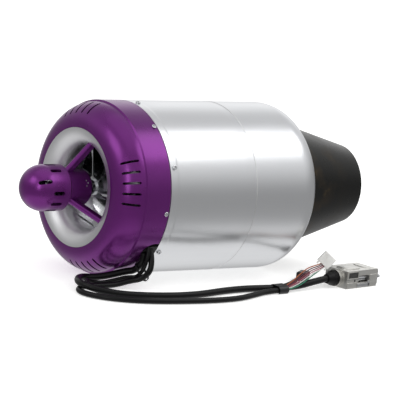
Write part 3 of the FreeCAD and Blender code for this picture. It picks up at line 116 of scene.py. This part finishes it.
class Finish:
    """One procedural material, its principled shader and the nodes that vary it."""

    def __init__(self, name, colour, roughness, metallic=0.0, **constants):
        self.material = bpy.data.materials.new(name)
        self.material.use_nodes = True
        self.tree = self.material.node_tree
        self.shader = self.tree.nodes["Principled BSDF"]
        self.feed("Base Color", colour)
        self.feed("Roughness", roughness)
        self.feed("Metallic", metallic)
        for key, value in constants.items():
            self.feed(key.replace("_", " "), value)
        self.place = self.add("ShaderNodeTexCoord", output="Object")

    def feed(self, key, value):
        socket = self.shader.inputs[key]
        if isinstance(value, Signal):
            self.tree.links.new(value.socket, socket)
        else:
            socket.default_value = (*value, 1.0) if hasattr(value, "__len__") else value

    def add(self, kind, settings=None, sockets=None, output=0):
        """Any node: its settings first, then the values or links of its sockets."""
        made = self.tree.nodes.new(kind)
        for key, value in (settings or {}).items():
            if key == "stops":
                elements = made.color_ramp.elements
                while len(elements) < len(value):
                    elements.new(0.5)
                for element, (where, colour) in zip(elements, value):
                    element.position, element.color = where, colour
            else:
                setattr(made, key, value)
        for key, value in (sockets or {}).items():
            if isinstance(value, Signal):
                self.tree.links.new(value.socket, made.inputs[key])
            else:
                made.inputs[key].default_value = value
        return Signal(self, made.outputs[output])

    def noise(self, scale, detail=3.0, stretch=None):
        """Noise from 0 to 1; stretch scales the three directions."""
        place = self.place
        if stretch:
            place = self.add("ShaderNodeVectorMath", {"operation": "MULTIPLY"}, {0: place, 1: stretch})
        return self.add("ShaderNodeTexNoise", {}, {"Vector": place, "Scale": scale, "Detail": detail})

    def along(self, axis):
        return self.add("ShaderNodeSeparateXYZ", {}, {0: self.place}, output=axis)

    def mixed(self, mask, first, second):
        """Colour that goes from first to second as the mask goes from 0 to 1."""
        first, second = [(*item, 1.0) if isinstance(item, tuple) else item for item in (first, second)]
        return self.add("ShaderNodeMix", {"data_type": "RGBA"}, {0: mask, 6: first, 7: second}, output=2)

    def bump(self, height, strength, distance):
        self.feed("Normal", self.add("ShaderNodeBump", {}, {
            "Height": height, "Strength": strength, "Distance": distance}))


def make_anodised():
    """Satin violet anodising on bead-blasted aluminium, with a pale pink band painted along the cowl's
    rear edge as the highlight on its chamfer.
    """
    deep, light = (0.120, 0.008, 0.150), (0.175, 0.018, 0.212)
    finish = Finish("violet_anodised", deep, 0.34, 0.82, Coat_Weight=0.30, Coat_Roughness=0.22)
    cloud = finish.noise(26.0, 4.0)
    # Painted highlight: a pale pink band at X = -47.3 mm, on the cowl's rear chamfer.
    edge = finish.along("X").band(-0.0473, 0.0002, 0.0002)
    finish.feed("Base Color", finish.mixed(edge, finish.mixed(cloud, deep, light), (0.62, 0.42, 0.64)))
    grain = finish.noise(2600.0, 2.0)
    finish.feed("Roughness", 0.24 + finish.noise(90.0, 3.0) * 0.06 + grain * 0.03)
    finish.bump(grain, 0.10, 0.00006)
    return finish.material


def make_case_metal():
    """Rolled aluminium sheet, softly blasted, with faint marks of rolling and handling, and a thin
    lighter ring painted at X = -4.2 mm as the highlight of a faint groove.
    """
    pale, grey = (0.80, 0.81, 0.83), (0.70, 0.715, 0.74)
    finish = Finish("case_metal", pale, 0.3, 1.0)
    streak = finish.noise(60.0, 4.0, (0.25, 3.0, 3.0))
    smudge = finish.noise(11.0, 3.0).ramp((0.52, 0.0), (0.78, 1.0))
    # Painted highlight: a thin lighter ring at X = -4.2 mm stands in for a faint groove. The tone mixes
    # it with the rolling streaks and handling smudges.
    groove_highlight = finish.along("X").band(-0.0042, 0.00012, 0.0001)
    marks_and_highlight = (streak * 0.35 + smudge * 0.30) - groove_highlight * 0.5
    finish.feed("Base Color", finish.mixed(marks_and_highlight, pale, grey))
    grain = finish.noise(2200.0, 2.0)
    finish.feed("Roughness", 0.25 + streak * 0.05 + smudge * 0.06 + grain * 0.03)
    finish.bump(grain, 0.08, 0.00005)
    return finish.material


def make_spun():
    """Spun aluminium with fine circular tool marks, satin."""
    finish = Finish("spun_aluminium", (0.74, 0.745, 0.76), 0.4, 1.0)
    rings = finish.noise(900.0, 2.0, (1.0, 0.02, 0.02))
    cloud = finish.noise(30.0, 3.0)
    finish.feed("Base Color", finish.mixed(cloud, (0.70, 0.705, 0.72), (0.80, 0.80, 0.81)))
    finish.feed("Roughness", 0.36 + cloud * 0.12)
    finish.bump(rings + finish.noise(2400.0, 2.0) * 0.6, 0.10, 0.00006)
    return finish.material


def make_machined(name, colour, roughness, cloud_scale=70.0):
    """Milled or turned metal with faint tool marks."""
    finish = Finish(name, colour, roughness, 1.0)
    darker = tuple(part * 0.72 for part in colour)
    cloud = finish.noise(cloud_scale, 3.0)
    finish.feed("Base Color", finish.mixed(cloud, darker, colour))
    marks = finish.noise(1500.0, 2.0, (1.0, 0.15, 0.15))
    finish.feed("Roughness", roughness - 0.06 + cloud * 0.12)
    finish.bump(marks, 0.12, 0.00006)
    return finish.material


def make_hot_steel():
    """Nickel alloy sheet, burnt nearly black, with straw and brown tints towards the casing."""
    black, brown, straw = (0.020, 0.020, 0.019), (0.070, 0.048, 0.026), (0.16, 0.115, 0.05)
    finish = Finish("hot_steel", black, 0.3, 0.92)
    near_case = finish.along("X").maths("MULTIPLY", 8.0).ramp((0.98, 1.0), (1.0, 0.92))
    root = (0.185 - finish.along("X")).maths("MULTIPLY", 16.0, use_clamp=True)
    patch = finish.noise(38.0, 4.0).ramp((0.47, 0.0), (0.70, 1.0))
    spot = finish.noise(120.0, 5.0).ramp((0.55, 0.0), (0.75, 1.0))
    tint = patch * root * near_case
    colour = finish.mixed(tint, black, brown)
    colour = finish.mixed(spot * tint, colour, straw)
    finish.feed("Base Color", colour)
    scratch = finish.noise(520.0, 3.0, (0.12, 1.0, 1.0))
    finish.feed("Roughness", 0.24 + patch * 0.10 + scratch * 0.10)
    finish.bump(scratch + finish.noise(30.0, 2.0) * 2.0, 0.16, 0.00012)
    return finish.material


def make_dull(name, colour, roughness, grain_scale=1400.0, metallic=0.0, strength=0.2, gloss=0.5):
    """Moulded rubber, plastic or cast metal with a fine grain."""
    finish = Finish(name, colour, roughness, metallic, Specular_IOR_Level=gloss)
    cloud = finish.noise(110.0, 4.0)
    finish.feed("Base Color", finish.mixed(cloud, tuple(part * 0.75 for part in colour), colour))
    finish.feed("Roughness", roughness - 0.05 + cloud * 0.10)
    finish.bump(finish.noise(grain_scale, 3.0), strength, 0.00010)
    return finish.material


FINISH = {
    "violet_anodised": make_anodised(),
    "bare_case": make_case_metal(),
    "spun_aluminium": make_spun(),
    "machined_aluminium": make_machined("machined_aluminium", (0.66, 0.67, 0.69), 0.22),
    "hot_steel": make_hot_steel(),
    "steel": make_machined("ground_steel", (0.52, 0.53, 0.55), 0.26),
    "bright_steel": make_machined("bright_steel", (0.74, 0.75, 0.77), 0.16),
    "liner_steel": make_machined("liner_steel", (0.34, 0.28, 0.22), 0.38, 30.0),
    "black_rubber": make_dull("black_rubber", (0.004, 0.004, 0.0045), 0.40, 1800.0, gloss=0.22),
    "black_jacket": make_dull("black_jacket", (0.004, 0.004, 0.0045), 0.36, 900.0, 0.0, 0.10, 0.22),
    "cast_zinc": make_dull("cast_zinc", (0.86, 0.85, 0.81), 0.33, 1500.0, 1.0, 0.16),
    "white_nylon": make_dull("white_nylon", (0.86, 0.855, 0.83), 0.42, 1200.0, 0.0, 0.06),
    "black_plastic": make_dull("black_plastic", (0.008, 0.008, 0.009), 0.34, 1300.0, 0.0, 0.08),
    "green_board": make_dull("green_board", (0.03, 0.16, 0.06), 0.30, 700.0, 0.0, 0.12),
    "plated_shell": make_machined("plated_shell", (0.60, 0.59, 0.56), 0.24),
}
WIRE_COLOURS = {
    "orange": (0.45, 0.10, 0.02), "red": (0.20, 0.02, 0.04), "pink": (0.42, 0.12, 0.17),
    "maroon": (0.09, 0.012, 0.03), "white": (0.75, 0.75, 0.72), "green": (0.02, 0.22, 0.12),
}
WIRE_FINISH = {name: make_dull("wire_" + name, colour, 0.38, 1500.0, 0.0, 0.05)
               for name, colour in WIRE_COLOURS.items()}


# ---------------------------------------------------------------- building helpers

def linked(name, data):
    piece = bpy.data.objects.new(name, data)
    bpy.context.scene.collection.objects.link(piece)
    return piece


def dress(piece, slot, body="engine", material=None):
    """Give a piece its finish and let it ride on a body."""
    piece.data.materials.append(material or FINISH[slot])
    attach(piece, body)
    return piece


def mesh_piece(name, shape, slot, body="engine", smooth=40.0, material=None):
    """Piece from a bmesh, smooth except over edges sharper than an angle."""
    data = bpy.data.meshes.new(name)
    bmesh.ops.recalc_face_normals(shape, faces=shape.faces)
    for edge in shape.edges:
        edge.smooth = len(edge.link_faces) == 2 and edge.calc_face_angle(0) < math.radians(smooth)
    for face in shape.faces:
        face.smooth = True
    shape.to_mesh(data)
    shape.free()
    return dress(linked(name, data), slot, body, material)


def lathe(shape, profile, matrix, steps=96):
    """Closed (along, radius) profile turned about the local X axis."""
    rings = []
    for step in range(steps):
        angle = 2 * math.pi * step / steps
        rings.append([shape.verts.new(matrix @ Vector((x, r * math.sin(angle), r * math.cos(angle))))
                      for x, r in profile])
    count = len(profile)
    for step, ring in enumerate(rings):
        after = rings[(step + 1) % steps]
        for row in range(count):
            following = (row + 1) % count
            shape.faces.new((ring[row], ring[following], after[following], after[row]))


def bevelled_box(shape, low, high, matrix, radius, segments=3):
    """Box between two corners with rounded edges."""
    low, high = Vector(low), Vector(high)
    middle, extent = (low + high) / 2, high - low
    made = bmesh.ops.create_cube(shape, size=1.0)
    verts = made["verts"]
    for vert in verts:
        vert.co = matrix @ (middle + Vector(a * b for a, b in zip(vert.co, extent)))
    edges = list({edge for vert in verts for edge in vert.link_edges})
    bmesh.ops.bevel(shape, geom=edges, offset=radius, segments=segments, affect="EDGES", profile=0.5)


# ---------------------------------------------------------------- leads

THICK_LEAD = [
    (-57.1, -59.6, -45.2), (-57.2, -60.3, -52.0), (-56.9, -49.5, -62.5), (-64.0, -46.0, -63.8),
    (-72.5, -42.0, -66.8), (-81.5, -38.5, -69.3), (-91.0, -35.8, -70.4), (-101.5, -35.2, -69.8),
    (-112.4, -44.2, -68.6), (-120.5, -57.8, -68.3), (-120.8, -70.0, -68.6), (-111.8, -78.0, -70.8),
    (-96.0, -85.0, -73.0), (-75.0, -91.5, -73.5), (-48.0, -97.0, -73.5), (-19.0, -96.0, -73.5),
    (11.0, -88.5, -73.5), (36.0, -85.5, -73.5), (57.0, -87.3, -73.3), (77.0, -89.3, -73.2),
    (97.0, -89.0, -72.2), (115.0, -86.2, -69.9), (131.6, -83.4, -68.5),
]
PLUG_LEAD = [
    (-52.1, -61.8, -42.2), (-53.8, -70.4, -55.2), (-58.2, -63.5, -66.6), (-66.5, -56.5, -69.5),
    (-78.0, -53.5, -73.2), (-92.0, -52.0, -74.0), (-104.0, -49.5, -74.0), (-115.0, -53.0, -74.0),
    (-123.5, -62.0, -74.0), (-124.5, -74.5, -74.0), (-114.5, -90.0, -74.0), (-97.0, -101.5, -74.0),
    (-76.0, -108.5, -74.0), (-49.0, -113.0, -74.0), (-19.0, -115.5, -74.0), (9.0, -113.5, -74.0),
    (33.0, -104.5, -74.0), (53.0, -96.2, -74.0), (73.0, -94.6, -73.6),
]
PROBE_LEAD = [
    (-56.0, -63.7, -39.2), (-58.2, -67.6, -50.6), (-57.6, -56.4, -67.0), (-65.0, -50.5, -67.5),
    (-75.0, -46.5, -71.0), (-87.0, -44.0, -73.5), (-98.0, -43.5, -72.0), (-106.0, -47.5, -69.3),
    (-110.5, -56.0, -69.3), (-108.0, -66.0, -72.6), (-99.0, -73.5, -74.75), (-86.0, -79.0, -74.75),
    (-71.0, -85.0, -74.75), (-48.0, -91.2, -74.75), (-19.0, -90.2, -74.75), (10.0, -82.8, -74.75),
    (36.0, -79.8, -74.75), (58.0, -81.5, -74.75), (78.0, -81.0, -74.75), (95.0, -74.5, -74.75),
    (109.0, -66.0, -74.3), (120.5, -60.5, -72.5),
]
WIRES = {
    "orange": [(71.8, -93.6, -72.6), (84.0, -91.6, -68.2), (97.0, -86.6, -62.4), (112.0, -79.6, -58.6),
               (128.8, -74.4, -57.6), (132.6, -73.6, -56.8)],
    "maroon": [(71.8, -94.4, -72.5), (84.4, -92.6, -68.9), (97.6, -87.6, -63.6), (113.0, -80.4, -59.8),
               (129.0, -75.4, -58.6), (133.0, -74.4, -57.4)],
    "red": [(72.0, -95.2, -72.8), (84.8, -93.4, -69.6), (98.2, -88.4, -64.8), (114.0, -81.4, -61.0),
            (129.4, -76.4, -59.4), (133.6, -75.2, -57.9)],
    "pink": [(72.0, -93.9, -73.6), (85.4, -94.0, -70.2), (99.0, -89.2, -65.8), (115.0, -82.2, -62.0),
             (129.8, -77.2, -60.4), (134.2, -76.0, -58.4)],
    "white": [(72.2, -95.0, -74.0), (86.0, -94.8, -71.0), (100.0, -90.0, -66.8), (116.0, -83.0, -62.9),
              (130.4, -77.6, -61.2), (134.9, -76.4, -58.9)],
    "green": [(72.2, -95.9, -73.9), (86.6, -95.8, -71.9), (100.6, -91.2, -67.8), (116.4, -83.6, -63.8),
              (130.2, -76.8, -61.7), (134.4, -74.8, -58.9)],
}


def lead(name, points, diameter, slot, material=None):
    """Smooth round lead that follows its route's points."""
    data = bpy.data.curves.new(name, "CURVE")
    data.dimensions = "3D"
    data.bevel_depth = diameter / 2
    data.bevel_resolution = 6
    data.resolution_u = 10
    data.use_fill_caps = True
    spline = data.splines.new("NURBS")
    spline.points.add(len(points) - 1)
    for point, place in zip(spline.points, points):
        point.co = (*(part * MM for part in place), 1.0)
    spline.order_u = 3
    spline.use_endpoint_u = True
    return dress(linked(name, data), slot, material=material)


def make_leads():
    thick = lead("thick_lead_jacket", THICK_LEAD, 0.006, "black_jacket")
    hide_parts("thick_lead")
    plug = lead("plug_lead_jacket", PLUG_LEAD, 0.005, "black_jacket")
    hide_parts("plug_lead")
    probe = lead("probe_lead_jacket", PROBE_LEAD, 0.0035, "black_jacket")
    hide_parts("probe_lead")
    for colour, points in WIRES.items():
        wire = lead("wire_" + colour, points, 0.0010, "black_jacket", WIRE_FINISH[colour])
        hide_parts("plug_wires")


make_leads()


# ---------------------------------------------------------------- carried-over pieces

def dress_nodes():
    """Every packed sub-part gets the finish of its material slot."""
    slots = {row["node"]: row["material_slot"] for row in frame["record"]["subparts"]}
    for name, item in nodes.items():
        item.data.materials.clear()
        item.data.materials.append(FINISH[slots[name]])


dress_nodes()


# ---------------------------------------------------------------- casing and hub trim

SEAM = 0.04715              # joint between the two lengths of the casing
LAND_RADIUS = 0.075
BEAD_SINK, BEAD_SIZE = 0.00025, 0.00042
HUB_RADIUS = 0.0155
HUB_PINS = ((-0.0915, 57), (-0.0900, 65), (-0.0915, 74))     # along the axis, clock angle
PIN_RADIUS, PIN_HEIGHT, PIN_SINK = 0.0006, 0.00035, 0.0001
STRUT_TURNS = (0, 120, 240)
# Paler metal for the seam bead: a painted highlight on top of the light that the raised bead catches.
SEAM_HIGHLIGHT_METAL = make_machined("seam_highlight_metal", (0.92, 0.92, 0.93), 0.30)


def ring_profile(centre, radius, size, sides=10):
    """Round cord section for a turned bead, as (along, radius) corners."""
    return [(centre + size * math.cos(2 * math.pi * step / sides),
             radius + size * math.sin(2 * math.pi * step / sides)) for step in range(sides)]


def make_seam():
    """Rolled bead that stands over the joint between the two lengths of the casing, in a paler metal that
    paints a highlight along the joint.
    """
    shape = bmesh.new()
    bead = ring_profile(SEAM, LAND_RADIUS - BEAD_SINK, BEAD_SIZE)
    lathe(shape, bead, Matrix.Identity(4), 192)
    mesh_piece("seam_bead", shape, "bare_case", material=SEAM_HIGHLIGHT_METAL)


def button(shape, matrix, radius, height):
    """Low domed pin head that stands along the matrix's X axis."""
    profile = [(0.0, radius), (height * 0.55, radius * 0.92), (height * 0.9, radius * 0.6),
               (height, radius * 0.12), (0.0, radius * 0.12)]
    lathe(shape, profile, matrix, 20)


def make_hub_pins():
    """Three small dowel pins in the side of the starter housing, repeated past each strut."""
    shape = bmesh.new()
    upright = Matrix.Rotation(-math.pi / 2, 4, "Y")
    for turn in STRUT_TURNS:
        for along, clock in HUB_PINS:
            spin = Matrix.Rotation(math.radians(clock + turn), 4, "X")
            seat = Matrix.Translation((along, 0, HUB_RADIUS - PIN_SINK))
            button(shape, spin @ seat @ upright, PIN_RADIUS, PIN_HEIGHT)
    mesh_piece("hub_pins", shape, "bright_steel")


# ---------------------------------------------------------------- connector trim

HOOD_CORNER = (0.1475, -0.0934, -0.0765)
HOOD_HEADING = math.radians(9.4)
HOOD = Matrix.Translation(HOOD_CORNER) @ Matrix.Rotation(HOOD_HEADING, 4, "Z")
HOOD_TOP = 16.0             # lengths of the hood's trim are in its own frame, in millimetres
HOOD_SIDES = ((0.0, -1), (25.0, 1))          # place across the hood, way out of it
HOOD_MIDDLE = (0, 12.5, 8.0)
TRIM_SINK = 0.1
CORNER_POWER = 0.7          # squares an oval's corners
# Near-black finish for the painted shade on the hood's sides.
PAINTED_HOOD_SHADE = make_dull("painted_hood_shade", (0.05, 0.05, 0.048), 0.55, 1500.0, 0.3, 0.15)


def slab(shape, low, high, radius):
    """Rounded slab in the hood's own frame, corners in millimetres."""
    bevelled_box(shape, [part * MM for part in low], [part * MM for part in high], HOOD, radius * MM)


def squared(value):
    """Sine or cosine that fills out an oval's corners."""
    return math.copysign(abs(value) ** CORNER_POWER, value)


def oval_pad(shape, centre, reach, rise, soft, steps=48):
    """Raised oval with a rolled edge on the hood's top."""
    edge = ((0.0, 0.0), (0.0, rise - soft), (soft * 0.35, rise - soft * 0.3), (soft, rise))
    rows = []
    for shrink, height in edge:
        row = []
        for step in range(steps):
            angle = 2 * math.pi * step / steps
            place = Vector((centre[0] + (reach[0] - shrink) * squared(math.cos(angle)),
                            centre[1] + (reach[1] - shrink) * squared(math.sin(angle)),
                            HOOD_TOP - 0.05 + height))
            row.append(shape.verts.new(HOOD @ (place * MM)))
        rows.append(row)
    for lower, upper in zip(rows, rows[1:]):
        for step in range(steps):
            after = (step + 1) % steps
            shape.faces.new((lower[step], lower[after], upper[after], upper[step]))
    shape.faces.new(rows[-1])
    shape.faces.new(list(reversed(rows[0])))


# Each slab: low and high along the hood, low and high up it, edge radius.
HOOD_RIBS = (
    (0.6, 16.0, 8.6, 9.5, 0.2), (0.6, 16.0, 14.6, 15.6, 0.2), (0.5, 1.7, 8.6, 15.6, 0.2),
    (15.0, 16.2, 8.6, 15.6, 0.2), (32.6, 42.4, 4.6, 11.4, 0.3), (1.0, 13.6, 1.0, 5.4, 0.3),
)
HOOD_SHADOWS = ((1.5, 15.2, 9.3, 14.8, 0.03), (28.2, 31.4, 6.0, 10.6, 0.03), (0.3, 42.7, 7.9, 8.15, 0.03))
HOOD_SPRINGS = ((15.2, 32.4, 0.9, 3.9, 0.35), (29.4, 32.4, 0.9, 5.6, 0.35))


def side_slabs(shape, rows, rise):
    """The same slabs on both long sides of the hood, standing out by a rise."""
    for face, out in HOOD_SIDES:
        near, far = sorted((face - out * TRIM_SINK, face + out * rise))
        for start, end, foot, head, radius in rows:
            slab(shape, (start, near, foot), (end, far, head), radius)


def make_hood_trim():
    """Raised features of the die-cast hood, near-black slabs painted as the shade of its sunk features,
    and its steel leaf spring.
    """
    shape = bmesh.new()
    oval_pad(shape, (15.5, 12.5), (11.5, 8.0), 0.9, 0.5)
    oval_pad(shape, (35.5, 12.5), (4.5, 9.0), 0.5, 0.3)
    side_slabs(shape, HOOD_RIBS, 0.7)
    mesh_piece("hood_ribs", shape, "cast_zinc")
    shape = bmesh.new()
    # Painted shade: near-black slabs and round spots on the hood's sides stand for the shade in its sunk
    # features.
    side_slabs(shape, HOOD_SHADOWS, 0.12)
    for face, out in HOOD_SIDES:
        place = Matrix.Translation((11.4 * MM, face * MM, 6.9 * MM))
        pivot = HOOD @ place @ Matrix.Rotation(out * math.pi / 2, 4, "Z")
        button(shape, pivot, 0.0011, 0.00015)
    mesh_piece("hood_shadows", shape, "cast_zinc", material=PAINTED_HOOD_SHADE)
    shape = bmesh.new()
    side_slabs(shape, HOOD_SPRINGS, 0.8)
    mesh_piece("hood_springs", shape, "bright_steel")


BUSHING_RIBS = (-4.6, -6.0, -7.4)
CLAMP_LIPS = (-3.0, -0.5)


def make_bushing_ribs():
    """Rolled ribs round the rubber bushing and the bright lip of its clamp."""
    middle = HOOD @ Matrix.Translation([part * MM for part in HOOD_MIDDLE])
    shape = bmesh.new()
    for along in BUSHING_RIBS:
        lathe(shape, ring_profile(along * MM, 6.35 * MM, 0.35 * MM), middle, 64)
    mesh_piece("bushing_ribs", shape, "black_rubber")
    shape = bmesh.new()
    for along in CLAMP_LIPS:
        lathe(shape, ring_profile(along * MM, 7.35 * MM, 0.4 * MM), middle, 64)
    mesh_piece("clamp_lips", shape, "plated_shell")


make_seam()
make_hub_pins()
make_hood_trim()
make_bushing_ribs()


# ---------------------------------------------------------------- floor and light

BEHIND = (0.61, 0.78, 0.12)


def make_floor():
    """Wide pale floor under the engine."""
    shape = bmesh.new()
    bmesh.ops.create_grid(shape, x_segments=1, y_segments=1, size=15.0)
    data = bpy.data.meshes.new("floor")
    shape.to_mesh(data)
    shape.free()
    floor = linked("floor", data)
    floor.location = (0, 0, FLOOR_HEIGHT)
    finish = Finish("floor_paper", (0.93, 0.93, 0.925), 0.9)
    cloud = finish.noise(1.5, 2.0)
    finish.feed("Base Color", finish.mixed(cloud, (0.92, 0.92, 0.915), (0.94, 0.94, 0.935)))
    finish.feed("Emission Color", (1.0, 1.0, 0.995))
    finish.feed("Emission Strength", 0.52)
    data.materials.append(finish.material)
    floor.visible_glossy = False


def soft_box(name, place, target, width, height, power, colour=(1, 1, 1)):
    data = bpy.data.lights.new(name, "AREA")
    data.shape = "RECTANGLE"
    data.size, data.size_y = width, height
    data.energy = power
    data.color = colour
    lamp = linked(name, data)
    lamp.location = place
    lamp.rotation_mode = "QUATERNION"
    lamp.rotation_quaternion = (Vector(target) - Vector(place)).to_track_quat("-Z", "Y")


class Sky(Finish):
    """The studio round the engine, with the same way of adding nodes as a finish."""

    def __init__(self, name):
        self.material = bpy.data.worlds.new(name)
        self.material.use_nodes = True
        self.tree = self.material.node_tree
        self.shader = self.tree.nodes["Background"]
        self.place = self.add("ShaderNodeTexCoord", output="Generated")


def make_sky():
    """Soft light from above and back off the table, with a darker room at the horizon."""
    sky = Sky("studio")
    height = sky.along("Z") * 0.5 + 0.5
    level = height.ramp((0.0, 0.80), (0.15, 0.90), (0.27, 0.36), (0.50, 0.31), (0.56, 0.36),
                        (0.70, 0.72), (0.88, 0.56), (1.0, 0.66))
    behind = sky.add("ShaderNodeVectorMath", {"operation": "DOT_PRODUCT"},
                     {0: sky.place, 1: BEHIND}, output="Value")
    glow = (behind - 0.80).maths("MULTIPLY", 5.0, use_clamp=True)
    sky.feed("Color", level + glow * 0.55)
    bpy.context.scene.world = sky.material


make_floor()
make_sky()
soft_box("key_box", (0.9, -0.75, 1.35), (0.05, 0, 0), 1.5, 0.8, 6.5)
soft_box("front_box", (-1.5, 0.1, 1.0), (-0.1, 0, 0), 0.9, 0.7, 3.2)
soft_box("face_box", (-1.9, -1.4, 0.6), (-0.1, 0, 0), 0.45, 1.1, 5)
soft_box("floor_wash", (0.0, -0.2, 2.4), (0, -0.2, 0), 2.6, 2.6, 6)
bpy.context.scene.view_settings.view_transform = "Standard"
